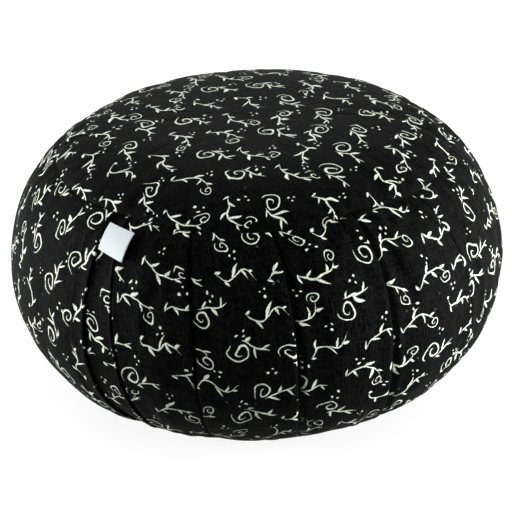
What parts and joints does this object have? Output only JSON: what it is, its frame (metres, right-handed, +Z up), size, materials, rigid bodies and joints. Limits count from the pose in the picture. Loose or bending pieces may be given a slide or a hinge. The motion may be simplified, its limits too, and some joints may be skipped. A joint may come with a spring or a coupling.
{
  "type": "zafu meditation cushion",
  "caption": "Round filled floor cushion with domed top and bottom panels, a knife-pleated side band, a lapped flap and a small sewn-in tag.",
  "frame": {"origin": "middle of the resting flat under the bottom panel, on the floor", "axes": "+Z up through the crown, front towards -Y, the flap's free edge left of the front towards -X"},
  "size_m": [0.3604, 0.3593, 0.2024],
  "materials": {
    "printed_canvas": "matt plain-weave cotton canvas, black, printed in cream",
    "woven_tag": "fine white woven tape, soft satin"
  },
  "bodies": {
    "root": {"top_panel": "printed_canvas", "side_band": "printed_canvas", "band_flap": "printed_canvas", "bottom_panel": "printed_canvas", "woven_tag": "woven_tag"}
  },
  "joints": []
}
